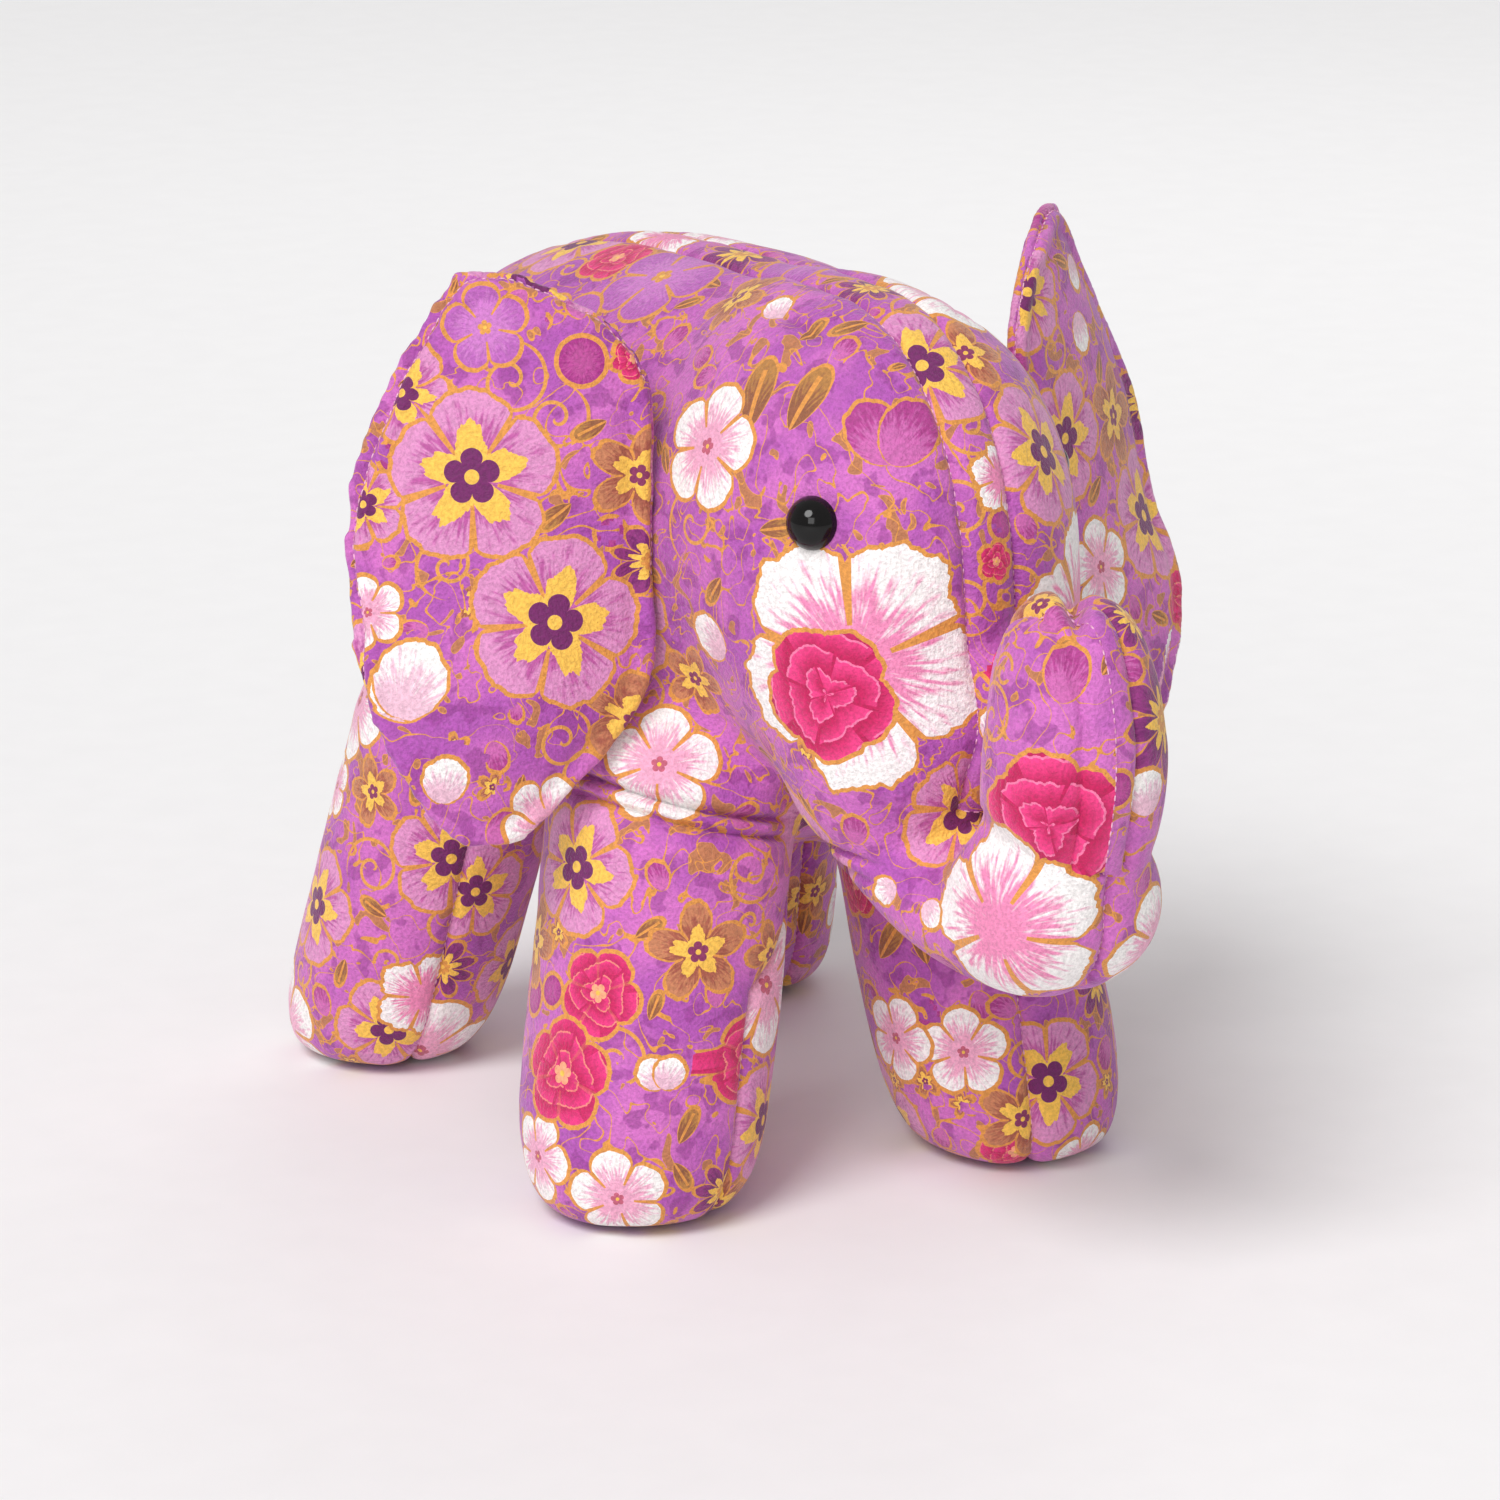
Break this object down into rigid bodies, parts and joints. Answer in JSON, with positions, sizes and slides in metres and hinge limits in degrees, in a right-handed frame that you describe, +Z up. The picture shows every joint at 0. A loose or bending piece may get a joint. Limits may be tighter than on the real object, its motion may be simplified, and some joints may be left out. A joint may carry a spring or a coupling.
{
  "type": "stuffed toy elephant",
  "caption": "Standing stuffed elephant sewn from printed crepe fabric, with large flapping ears, an upturned trunk, flexing legs, bead eyes and a tail.",
  "frame": {"origin": "on the floor, under the middle of the toy's bounding box", "axes": "+Z up, the elephant faces -Y, its right side is at -X"},
  "size_m": [0.2342, 0.297, 0.228],
  "materials": {
    "crepe_side": "crinkled printed crepe",
    "crepe_gusset": "crinkled printed crepe",
    "crepe_belly": "crinkled printed crepe",
    "crepe_leg": "crinkled printed crepe",
    "crepe_leg_inner": "crinkled printed crepe",
    "crepe_ear": "crinkled printed crepe",
    "crepe_ear_back": "crinkled printed crepe",
    "crepe_tail": "crinkled printed crepe",
    "fibre_stuffing": "white polyester fibre",
    "eye_gloss": "polished black",
    "washer_plastic": "moulded"
  },
  "bodies": {
    "torso": {"back_gusset": "crepe_gusset", "belly_gusset": "crepe_belly", "side_panel_right": "crepe_side", "side_panel_left": "crepe_side", "body_stuffing": "fibre_stuffing", "eye_right": "eye_gloss", "eye_left": "eye_gloss", "eye_washer_right": "washer_plastic", "eye_washer_left": "washer_plastic"},
    "trunk": {"trunk_gusset": "crepe_gusset", "trunk_panel_right": "crepe_side", "trunk_panel_left": "crepe_side", "trunk_stuffing": "fibre_stuffing"},
    "tail": {"tail_strip": "crepe_tail", "tail_knot": "crepe_tail"},
    "leg_front_right": {"leg_front_right_outer": "crepe_leg", "leg_front_right_inner": "crepe_leg_inner", "leg_front_right_stuffing": "fibre_stuffing"},
    "leg_front_left": {"leg_front_left_outer": "crepe_leg", "leg_front_left_inner": "crepe_leg_inner", "leg_front_left_stuffing": "fibre_stuffing"},
    "leg_rear_right": {"leg_rear_right_outer": "crepe_leg", "leg_rear_right_inner": "crepe_leg_inner", "leg_rear_right_stuffing": "fibre_stuffing"},
    "leg_rear_left": {"leg_rear_left_outer": "crepe_leg", "leg_rear_left_inner": "crepe_leg_inner", "leg_rear_left_stuffing": "fibre_stuffing"},
    "ear_right": {"ear_right_front": "crepe_ear", "ear_right_back": "crepe_ear_back", "ear_right_wadding": "fibre_stuffing"},
    "ear_left": {"ear_left_front": "crepe_ear", "ear_left_back": "crepe_ear_back", "ear_left_wadding": "fibre_stuffing"}
  },
  "joints": [
    {"name": "leg_front_right_flex", "type": "hinge", "parent": "torso", "child": "leg_front_right", "pos_m": [-0.038, -0.0135, 0.097], "axis": [1, 0, 0], "range_deg": [-10, 10], "stiffness_Nm_per_rad": 1},
    {"name": "leg_front_left_flex", "type": "hinge", "parent": "torso", "child": "leg_front_left", "pos_m": [0.038, -0.0135, 0.097], "axis": [1, 0, 0], "range_deg": [-10, 10], "stiffness_Nm_per_rad": 1},
    {"name": "leg_rear_right_flex", "type": "hinge", "parent": "torso", "child": "leg_rear_right", "pos_m": [-0.038, 0.0865, 0.097], "axis": [1, 0, 0], "range_deg": [-10, 10], "stiffness_Nm_per_rad": 1},
    {"name": "leg_rear_left_flex", "type": "hinge", "parent": "torso", "child": "leg_rear_left", "pos_m": [0.038, 0.0865, 0.097], "axis": [1, 0, 0], "range_deg": [-10, 10], "stiffness_Nm_per_rad": 1},
    {"name": "ear_right_flap", "type": "hinge", "parent": "torso", "child": "ear_right", "pos_m": [-0.0475, -0.0295, 0.15], "axis": [0, 0, 1], "range_deg": [-4, 25], "stiffness_Nm_per_rad": 0.05},
    {"name": "ear_left_flap", "type": "hinge", "parent": "torso", "child": "ear_left", "pos_m": [0.0475, -0.0295, 0.15], "axis": [0, 0, -1], "range_deg": [-4, 25], "stiffness_Nm_per_rad": 0.05},
    {"name": "trunk_curl", "type": "hinge", "parent": "torso", "child": "trunk", "pos_m": [0, -0.1195, 0.094], "axis": [1, 0, 0], "range_deg": [0, 15], "stiffness_Nm_per_rad": 0.5},
    {"name": "tail_swing", "type": "hinge", "parent": "torso", "child": "tail", "pos_m": [0, 0.1365, 0.171], "axis": [1, 0, 0], "range_deg": [0, 60]}
  ]
}
